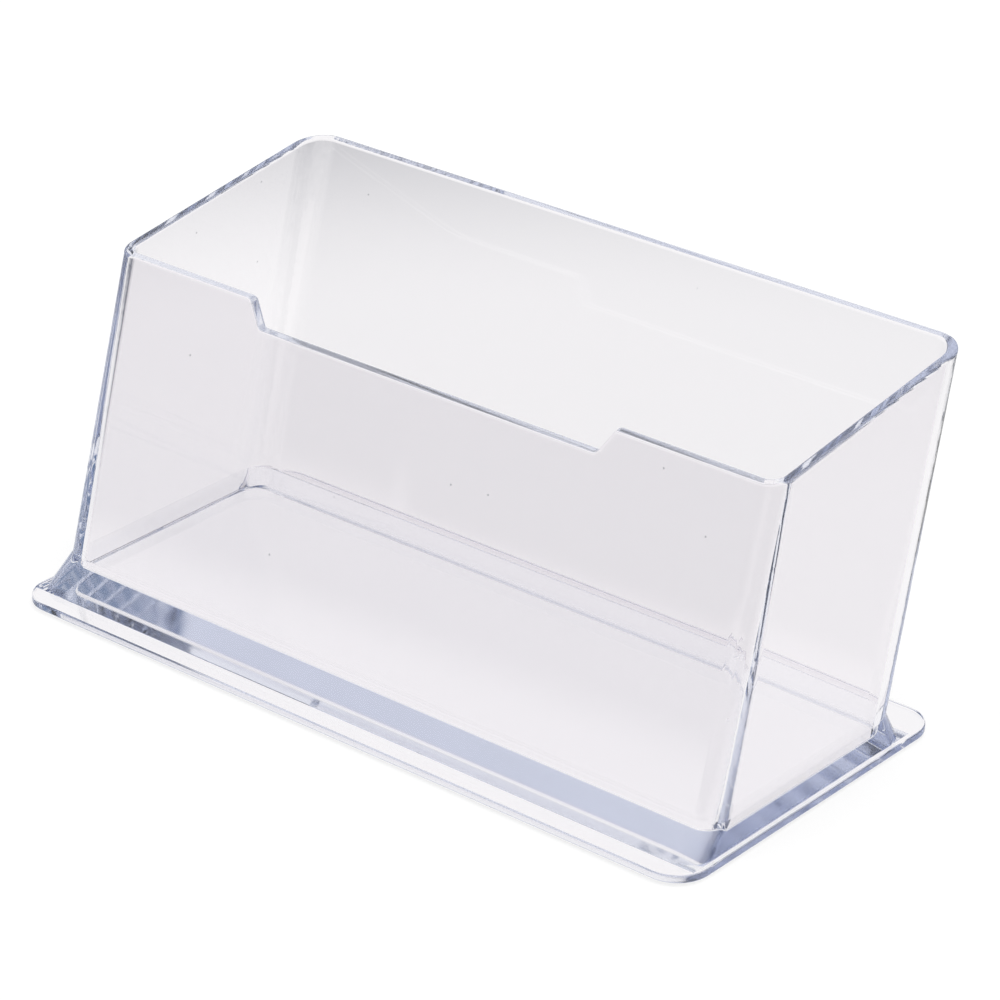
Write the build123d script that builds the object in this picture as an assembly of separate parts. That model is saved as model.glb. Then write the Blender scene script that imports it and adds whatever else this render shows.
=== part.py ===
from build123d import *
import os
from math import cos, radians, sin, tan

# Clear desktop stand for a stack of business cards.
# A thin base plate carries a card pocket whose walls lean back.
# Millimetres. X runs across the stand, +Y to the back, +Z up.
# The origin is the middle of the base plate's underside.

# The stack of cards that the pocket holds
card_width = 90.0
card_side_clearance = 2.04
card_stack_depth = 29.35  # square to the leaning walls

# Pocket walls
wall_thickness = 1.3  # that of the side walls is at the front rim
wall_lean = 15.8  # degrees from upright, towards the back
side_draft = 0.88  # degrees by which the outside of each side wall leans in; the inside is upright
front_rim_height = 39.8  # outer edge of the front rim, above the table
rim_rise = 8.3  # degrees by which the rim climbs from front to back
front_inner_radius = 1.5
back_inner_radius = 2.7
rim_edge_radius = 0.35

# Pocket floor
floor_thickness = 1.05
floor_cove_radius = 0.3

# Notch in the front rim
notch_top_width = 53.1
notch_bottom_width = 49.1
notch_depth = 2.85  # square to the rim
notch_corner_radius = 0.8

# Flared foot of the pocket: how far it spreads beyond the walls at its bottom edge
foot_height = 3.22
foot_side_flare = 0.42
foot_front_flare = 3.22
foot_back_flare = 2.05
foot_corner_radius = 3.4
foot_blend_radius = 0.5

# Base plate: how far it stands out beyond the foot
plate_thickness = 0.95
plate_corner_radius = 4.2
plate_edge_radius = 0.2
side_ledge = 0.65
front_ledge = 2.53
back_ledge = 5.2

# Film of cement between the plate and the foot
cement_film = 0.05

# How near an edge's place must be to count as the place sought
reach = 0.001

# Directions
lean = radians(wall_lean)
rise = radians(rim_rise)
draft = radians(side_draft)

# Heights above the table
foot_bottom = plate_thickness + cement_film
foot_top = foot_bottom + foot_height
floor_top = foot_bottom + floor_thickness

# Plan sizes, from the cards outwards; the pocket's are at the level of the foot's bottom edge
level_wall = wall_thickness / cos(lean)
inner_depth = card_stack_depth / cos(lean)
inner_width = card_width + 2 * card_side_clearance
rim_width = inner_width + 2 * wall_thickness
pocket_width = rim_width + 2 * (front_rim_height - foot_bottom) * tan(draft)
pocket_depth = inner_depth + 2 * level_wall
foot_width = pocket_width + 2 * foot_side_flare
foot_depth = foot_front_flare + pocket_depth + foot_back_flare
plate_width = foot_width + 2 * side_ledge
plate_depth = front_ledge + foot_depth + back_ledge

# Places along Y at the level of the foot's bottom edge
foot_front = front_ledge - plate_depth / 2
pocket_front = foot_front + foot_front_flare

# Height to which the walls are drawn before the rim is cut
back_rim_rise = pocket_depth * tan(rise) / (1 - tan(rise) * tan(lean))
walls_top = front_rim_height + back_rim_rise + wall_thickness

front_rim = (0, pocket_front + (front_rim_height - foot_bottom) * tan(lean), front_rim_height)
rim_plane = Plane(origin=front_rim, x_dir=(1, 0, 0), z_dir=(0, -sin(rise), cos(rise)))
notch_plane = Plane(origin=front_rim, x_dir=(1, 0, 0), z_dir=(0, -cos(rise), -sin(rise)))


def level_outline(width, front, depth, front_radius, back_radius, height):
    """Level face with rounded corners, its front edge at Y = front."""
    outline = Pos(0, front + depth / 2) * Rectangle(width, depth)
    outline = fillet(outline.vertices().group_by(Axis.Y)[0], front_radius)
    outline = fillet(outline.vertices().group_by(Axis.Y)[-1], back_radius)
    return Pos(0, 0, height) * outline


def outside_outline(height):
    """Outline of the leaning walls' outside at a height."""
    above_foot = height - foot_bottom
    front = pocket_front + above_foot * tan(lean)
    width = pocket_width - 2 * above_foot * tan(draft)
    front_radius = front_inner_radius + wall_thickness
    back_radius = back_inner_radius + wall_thickness
    return level_outline(width, front, pocket_depth, front_radius, back_radius, height)


def inside_outline(height):
    """Outline of the leaning walls' inside at a height."""
    front = pocket_front + level_wall + (height - foot_bottom) * tan(lean)
    return level_outline(inner_width, front, inner_depth, front_inner_radius, back_inner_radius, height)


def leaning_block(outline, bottom):
    """Block that leans with the walls, from a height to above the rim."""
    return loft([outline(bottom), outline(walls_top)], ruled=True)


def crease_edges(pocket):
    """Edges all round the outside where the flared foot meets the walls."""
    return [edge for edge in pocket.edges()
            if all(abs((edge @ place).Z - foot_top) < reach for place in (0, 0.5, 1))]


def notch_shoulders(pocket):
    """The two short edges across the front wall where the notch's slanted ends leave the rim."""
    return [edge for edge in pocket.edges()
            if abs(rim_plane.to_local_coords(edge.center()).Z) < reach
            and abs(abs(edge.center().X) - notch_top_width / 2) < reach]


def rim_edges(pocket):
    """Outer and inner edges of the rim and the notch, without the short lines across the wall."""
    below_notch = front_rim_height - notch_depth - wall_thickness
    upper = [edge for edge in pocket.edges() if edge.center().Z > below_notch]
    return [edge for edge in upper
            if edge.length > 2 * level_wall or abs((edge % 0.5).dot(notch_plane.z_dir)) < 1 - reach]


def flared_foot():
    """Solid foot that narrows from its bottom edge to the outside of the walls."""
    radius = foot_corner_radius
    bottom = level_outline(foot_width, foot_front, foot_depth, radius, radius, foot_bottom)
    return loft([bottom, outside_outline(foot_top)], ruled=True)


def pocket_cavity():
    """Space for the cards, with a cove round its floor."""
    cavity = leaning_block(inside_outline, floor_top)
    return fillet(cavity.edges().group_by(Axis.Z)[0], floor_cove_radius)


def rim_notch():
    """Wide shallow notch with slanted ends, through the front wall alone."""
    flank = (notch_top_width - notch_bottom_width) / 2 / notch_depth
    headroom = notch_depth
    half_mouth = notch_top_width / 2 + flank * headroom
    half_bottom = notch_bottom_width / 2
    corners = [(-half_mouth, headroom), (-half_bottom, -notch_depth),
               (half_bottom, -notch_depth), (half_mouth, headroom)]
    outline = make_face(Polyline(*corners, close=True))
    outline = fillet(outline.vertices().group_by(Axis.Y)[0], notch_corner_radius)
    return extrude(notch_plane * outline, amount=inner_depth / 2, both=True)


def base_plate():
    """Thin flat plate with rounded corners and softened edges."""
    radius = plate_corner_radius
    outline = level_outline(plate_width, -plate_depth / 2, plate_depth, radius, radius, 0)
    plate = extrude(outline, amount=plate_thickness)
    level_edges = plate.edges().group_by(Axis.Z)[0] + plate.edges().group_by(Axis.Z)[-1]
    return fillet(level_edges, plate_edge_radius)


def card_pocket():
    """Flared foot, floor and leaning walls in one piece."""
    pocket = flared_foot() + leaning_block(outside_outline, foot_top)
    pocket -= pocket_cavity()
    pocket = split(pocket, bisect_by=rim_plane, keep=Keep.BOTTOM)
    pocket -= rim_notch()
    pocket = fillet(crease_edges(pocket), foot_blend_radius)
    pocket = fillet(notch_shoulders(pocket), notch_corner_radius)
    return fillet(rim_edges(pocket), rim_edge_radius)


os.makedirs("parts", exist_ok=True)
export_step(base_plate(), "parts/base_plate.step")
export_step(card_pocket(), "parts/card_pocket.step")
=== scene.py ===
import bpy
import math
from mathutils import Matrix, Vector


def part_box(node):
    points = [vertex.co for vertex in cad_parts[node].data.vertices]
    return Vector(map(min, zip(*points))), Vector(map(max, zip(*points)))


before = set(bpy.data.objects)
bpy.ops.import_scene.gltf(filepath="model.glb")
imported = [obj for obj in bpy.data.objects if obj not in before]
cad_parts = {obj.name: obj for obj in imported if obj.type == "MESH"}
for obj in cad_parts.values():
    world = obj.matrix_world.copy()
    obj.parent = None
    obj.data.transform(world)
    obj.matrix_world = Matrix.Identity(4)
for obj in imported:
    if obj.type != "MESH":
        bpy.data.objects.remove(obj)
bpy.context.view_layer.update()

# Lengths are in metres, apart from those of the camera's lens and sensor.

# Camera, from the photograph's edges. Its place is measured from the middle of the base plate's front edge.
CAMERA_FROM_FRONT_EDGE = Vector((0.27228, -0.28925, 0.22706))
CAMERA_AZIMUTH = math.radians(40.533)
CAMERA_ELEVATION = math.radians(26.481)
CAMERA_LENS_MM = 148.083
SENSOR_MM = 36.0
CLIP_START = 0.01
CLIP_END = 100.0

# Table, just below the stand. The matt share of it shows the stand's shadow.
FLOOR_SIZE = 2.4
FLOOR_DROP = 0.0003
TABLE_WHITE = (1.0, 1.0, 1.0, 1.0)
TABLE_MATT = (0.9, 0.9, 0.9, 1.0)
SHADOW_SHARE = 0.22

# What is out of the light, on the table and in the studio
DIM = (0.22, 0.23, 0.27)

# Distances from the stand's middle between which the table darkens, as the plastic mirrors it
LIT_RADIUS = 0.10
DARK_RADIUS = 0.25

# Distances between which it darkens towards its front right corner, as seen through the plastic
CORNER_DIRECTION = (math.sqrt(0.5), -math.sqrt(0.5), 0.0)
CORNER_START = 0.075
CORNER_END = 0.12

# Studio all round: colour by the sine of the height angle
SKY_LIGHT = (0.95, 0.95, 0.95)
SKY = (
    (-0.12, (1.0, 1.0, 1.0)),
    (-0.05, DIM),
    (0.15, DIM),
    (0.35, SKY_LIGHT),
    (1.00, SKY_LIGHT),
)

# Studio as seen through the plastic: colour from the front left to the back right.
# At the far front left it is as all round; the change is from ROOM_START to ROOM_FULL.
ACROSS_ROOM = (math.sqrt(0.5), math.sqrt(0.5), 0.0)
ROOM_START = -0.85
ROOM_FULL = -0.60
ROOM_LIGHT = (0.97, 0.97, 0.97)
ROOM_DARK = (0.18, 0.25, 0.38)
ROOM = (
    (-1.00, ROOM_LIGHT),
    (0.25, ROOM_LIGHT),
    (0.60, ROOM_DARK),
    (1.00, ROOM_DARK),
)

# Lamp
LAMP_PLACE = Vector((0.1, 0.2, 1.2))
LAMP_SIZE = 0.9
LAMP_WATTS = 9.0

# Clear plastic: the colour of long paths through it, and what each surface lets pass
PLASTIC_IOR = 1.53
TINT = (0.30, 0.41, 0.70, 1.0)
TINT_DENSITY = {"base_plate": 20.0, "card_pocket": 5.0}
SURFACE_PASS = (0.945, 0.93, 0.945, 1.0)

# Bounces for light that is led along the base
LIGHT_BOUNCES = 64

# Uneven haze: ends of the roughness, and of the noise that spreads it
HAZE_ROUGHNESS = {"base_plate": (0.02, 0.09), "card_pocket": (0.0, 0.03)}
HAZE_NOISE = (0.35, 0.75)
HAZE_SCALE = 90.0
HAZE_DETAIL = 4.0

# Specks on the walls
SPECK_SCALE = 140.0
SPECK_RADIUS = 0.00014
SPECK_LOWEST = 0.006
SPECK_COLOUR = (0.45, 0.45, 0.47, 1.0)

# Cemented joint between the foot and the plate: how near a face must be to it,
# and how far the plate stands out behind the foot
JOINT_REACH = 0.00002
BACK_LEDGE = 0.0052


def feed(links, value, socket):
    """Give an input socket its value: another node's output, or a plain number or colour."""
    if isinstance(value, bpy.types.NodeSocket):
        links.new(value, socket)
    else:
        socket.default_value = value


def add_math(nodes, links, operation, first, second):
    """Math node on two values, each a socket or a number. Returns its output socket."""
    node = nodes.new("ShaderNodeMath")
    node.operation = operation
    feed(links, first, node.inputs[0])
    feed(links, second, node.inputs[1])
    return node.outputs[0]


def add_dot(nodes, links, vector, direction):
    """How far a vector reaches along a direction. Returns its output socket."""
    node = nodes.new("ShaderNodeVectorMath")
    node.operation = "DOT_PRODUCT"
    links.new(vector, node.inputs[0])
    node.inputs[1].default_value = direction
    return node.outputs["Value"]


def add_range(nodes, links, value, start, end, low=0.0, high=1.0, course="LINEAR"):
    """Value that goes from low to high while another goes from start to end. Returns its output socket."""
    node = nodes.new("ShaderNodeMapRange")
    node.interpolation_type = course
    links.new(value, node.inputs["Value"])
    node.inputs["From Min"].default_value = start
    node.inputs["From Max"].default_value = end
    node.inputs["To Min"].default_value = low
    node.inputs["To Max"].default_value = high
    return node.outputs["Result"]


def add_mix(nodes, links, share, first, second):
    """Mix of two colours, with a share of the second. Returns its output socket."""
    node = nodes.new("ShaderNodeMix")
    node.data_type = "RGBA"
    links.new(share, node.inputs["Factor"])
    feed(links, first, node.inputs["A"])
    feed(links, second, node.inputs["B"])
    return node.outputs["Result"]


def add_ramp(nodes, links, place, stops):
    """Colour by a coordinate from minus one to one. Returns its output socket."""
    ramp = nodes.new("ShaderNodeValToRGB")
    links.new(add_range(nodes, links, place, -1.0, 1.0), ramp.inputs["Fac"])
    places = [(coordinate + 1.0) / 2.0 for coordinate, _ in stops]
    elements = ramp.color_ramp.elements
    for between in places[1:-1]:
        elements.new(between)
    for element, position, (_, colour) in zip(elements, places, stops):
        element.position = position
        element.color = (*colour, 1.0)
    return ramp.outputs["Color"]


def floor_material():
    """Table that is white where it is seen, with a matt share that keeps the stand's shadow.
    Far off, as mirrored, and at one corner, as seen through the plastic, it is out of the light."""
    material = bpy.data.materials.new("white_table")
    material.use_nodes = True
    nodes, links = material.node_tree.nodes, material.node_tree.links
    nodes.clear()
    rays = nodes.new("ShaderNodeLightPath").outputs
    place = nodes.new("ShaderNodeNewGeometry").outputs["Position"]
    distance = nodes.new("ShaderNodeVectorMath")
    distance.operation = "LENGTH"
    links.new(place, distance.inputs[0])
    far = add_range(nodes, links, distance.outputs["Value"], LIT_RADIUS, DARK_RADIUS, course="SMOOTHSTEP")
    far = add_math(nodes, links, "MULTIPLY", far, rays["Is Glossy Ray"])
    along = add_dot(nodes, links, place, CORNER_DIRECTION)
    corner = add_range(nodes, links, along, CORNER_START, CORNER_END, course="SMOOTHSTEP")
    corner = add_math(nodes, links, "MULTIPLY", corner, rays["Is Transmission Ray"])
    unlit = add_math(nodes, links, "MAXIMUM", far, corner)
    white = nodes.new("ShaderNodeEmission")
    links.new(add_mix(nodes, links, unlit, TABLE_WHITE, (*DIM, 1.0)), white.inputs["Color"])
    matt = nodes.new("ShaderNodeBsdfDiffuse")
    matt.inputs["Color"].default_value = TABLE_MATT
    share = add_math(nodes, links, "MULTIPLY", rays["Is Camera Ray"], 1.0 - SHADOW_SHARE)
    share = add_math(nodes, links, "MAXIMUM", share, rays["Is Glossy Ray"])
    share = add_math(nodes, links, "MAXIMUM", share, rays["Is Transmission Ray"])
    mix = nodes.new("ShaderNodeMixShader")
    links.new(share, mix.inputs["Fac"])
    links.new(matt.outputs[0], mix.inputs[1])
    links.new(white.outputs[0], mix.inputs[2])
    output = nodes.new("ShaderNodeOutputMaterial")
    links.new(mix.outputs[0], output.inputs["Surface"])
    return material


def add_floor():
    """Plain pale floor under the stand."""
    half = FLOOR_SIZE / 2
    mesh = bpy.data.meshes.new("floor")
    corners = [(-half, -half, 0), (half, -half, 0), (half, half, 0), (-half, half, 0)]
    mesh.from_pydata(corners, [], [(0, 1, 2, 3)])
    mesh.materials.append(floor_material())
    floor = bpy.data.objects.new("floor", mesh)
    floor.location.z = -FLOOR_DROP
    bpy.context.scene.collection.objects.link(floor)


def add_world():
    """Soft studio, bright overhead and dim near the horizon.
    Seen through the plastic, its back right is dark."""
    world = bpy.data.worlds.new("studio")
    world.use_nodes = True
    bpy.context.scene.world = world
    nodes, links = world.node_tree.nodes, world.node_tree.links
    nodes.clear()
    direction = nodes.new("ShaderNodeTexCoord").outputs["Generated"]
    split = nodes.new("ShaderNodeSeparateXYZ")
    links.new(direction, split.inputs[0])
    sky = add_ramp(nodes, links, split.outputs["Z"], SKY)
    across = add_dot(nodes, links, direction, ACROSS_ROOM)
    room = add_ramp(nodes, links, across, ROOM)
    beyond = add_range(nodes, links, across, ROOM_START, ROOM_FULL)
    rays = nodes.new("ShaderNodeLightPath").outputs
    through = add_math(nodes, links, "MULTIPLY", beyond, rays["Is Transmission Ray"])
    background = nodes.new("ShaderNodeBackground")
    links.new(add_mix(nodes, links, through, sky, room), background.inputs["Color"])
    output = nodes.new("ShaderNodeOutputWorld")
    links.new(background.outputs[0], output.inputs["Surface"])


def add_lamp():
    """Large soft lamp that faces the stand. It lights the table, and the plastic doesn't show it."""
    data = bpy.data.lights.new("overhead_softbox", "AREA")
    data.shape = "DISK"
    data.size = LAMP_SIZE
    data.energy = LAMP_WATTS
    lamp = bpy.data.objects.new("overhead_softbox", data)
    lamp.location = LAMP_PLACE
    lamp.rotation_mode = "QUATERNION"
    lamp.rotation_quaternion = (-LAMP_PLACE).to_track_quat("-Z", "Y")
    lamp.visible_glossy = False
    lamp.visible_transmission = False
    bpy.context.scene.collection.objects.link(lamp)


def add_camera():
    """Camera at the photograph's viewing angle."""
    plate_low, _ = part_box("base_plate")
    forward = Vector((
        -math.sin(CAMERA_AZIMUTH) * math.cos(CAMERA_ELEVATION),
        math.cos(CAMERA_AZIMUTH) * math.cos(CAMERA_ELEVATION),
        -math.sin(CAMERA_ELEVATION),
    ))
    data = bpy.data.cameras.new("camera")
    data.lens = CAMERA_LENS_MM
    data.sensor_width = SENSOR_MM
    data.clip_start = CLIP_START
    data.clip_end = CLIP_END
    camera = bpy.data.objects.new("camera", data)
    camera.location = Vector((0.0, plate_low.y, 0.0)) + CAMERA_FROM_FRONT_EDGE
    camera.rotation_mode = "QUATERNION"
    camera.rotation_quaternion = forward.to_track_quat("-Z", "Y")
    bpy.context.scene.collection.objects.link(camera)
    bpy.context.scene.camera = camera


def set_render():
    """Plain colours, and enough bounces for clear plastic."""
    scene = bpy.context.scene
    scene.view_settings.view_transform = "Standard"
    scene.cycles.max_bounces = LIGHT_BOUNCES
    scene.cycles.glossy_bounces = LIGHT_BOUNCES
    scene.cycles.transmission_bounces = LIGHT_BOUNCES
    scene.cycles.transparent_max_bounces = LIGHT_BOUNCES


def inside_box(nodes, links, low, high):
    """One inside the box between two corners of the piece, zero elsewhere."""
    place = nodes.new("ShaderNodeTexCoord")
    split = nodes.new("ShaderNodeSeparateXYZ")
    links.new(place.outputs["Object"], split.inputs[0])
    inside = 1.0
    for axis, low_end, high_end in zip("XYZ", low, high):
        near = nodes.new("ShaderNodeMath")
        near.operation = "COMPARE"
        links.new(split.outputs[axis], near.inputs[0])
        near.inputs[1].default_value = (low_end + high_end) / 2
        near.inputs[2].default_value = (high_end - low_end) / 2
        inside = add_math(nodes, links, "MULTIPLY", inside, near.outputs[0])
    return inside


def clear_plastic(name, tint_density, haze_roughness, joint_low, joint_high):
    """Clear moulded plastic with a slight blue tint along long paths and a faint uneven haze.
    Faces in the joint's box pass light straight on, as cemented plastic does."""
    material = bpy.data.materials.new(name)
    material.use_nodes = True
    nodes, links = material.node_tree.nodes, material.node_tree.links
    shader = nodes["Principled BSDF"]
    shader.inputs["Base Color"].default_value = SURFACE_PASS
    shader.inputs["Transmission Weight"].default_value = 1.0
    shader.inputs["IOR"].default_value = PLASTIC_IOR
    joint = inside_box(nodes, links, joint_low, joint_high)
    links.new(add_math(nodes, links, "SUBTRACT", 1.0, joint), shader.inputs["Alpha"])
    place = nodes.new("ShaderNodeTexCoord")
    cloud = nodes.new("ShaderNodeTexNoise")
    cloud.inputs["Scale"].default_value = HAZE_SCALE
    cloud.inputs["Detail"].default_value = HAZE_DETAIL
    links.new(place.outputs["Object"], cloud.inputs["Vector"])
    haze = add_range(nodes, links, cloud.outputs["Fac"], *HAZE_NOISE, *haze_roughness)
    links.new(haze, shader.inputs["Roughness"])
    absorb = nodes.new("ShaderNodeVolumeAbsorption")
    absorb.inputs["Color"].default_value = TINT
    absorb.inputs["Density"].default_value = tint_density
    links.new(absorb.outputs["Volume"], nodes["Material Output"].inputs["Volume"])
    return material


def add_specks(material):
    """A few tiny specks on the walls."""
    nodes, links = material.node_tree.nodes, material.node_tree.links
    place = nodes.new("ShaderNodeTexCoord")
    spread = nodes.new("ShaderNodeTexVoronoi")
    spread.inputs["Scale"].default_value = SPECK_SCALE
    links.new(place.outputs["Object"], spread.inputs["Vector"])
    speck = add_math(nodes, links, "LESS_THAN", spread.outputs["Distance"], SPECK_RADIUS * SPECK_SCALE)
    split = nodes.new("ShaderNodeSeparateXYZ")
    links.new(place.outputs["Object"], split.inputs[0])
    above = add_math(nodes, links, "GREATER_THAN", split.outputs["Z"], SPECK_LOWEST)
    share = add_math(nodes, links, "MULTIPLY", speck, above)
    colour = add_mix(nodes, links, share, SURFACE_PASS, SPECK_COLOUR)
    links.new(colour, nodes["Principled BSDF"].inputs["Base Color"])


def dress(name, joint_height):
    """Clear plastic for a piece whose joint with the other piece is at a height. Returns the material."""
    _, plate_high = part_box("base_plate")
    foot_low, foot_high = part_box("card_pocket")
    joint_low = (foot_low.x, foot_low.y, joint_height - JOINT_REACH)
    joint_high = (foot_high.x, plate_high.y - BACK_LEDGE, joint_height + JOINT_REACH)
    plastic = clear_plastic("clear_" + name, TINT_DENSITY[name], HAZE_ROUGHNESS[name], joint_low, joint_high)
    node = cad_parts[name]
    node.data.materials.clear()
    node.data.materials.append(plastic)
    return plastic


dress("base_plate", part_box("base_plate")[1].z)
add_specks(dress("card_pocket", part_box("card_pocket")[0].z))

add_floor()
add_world()
add_lamp()
add_camera()
set_render()
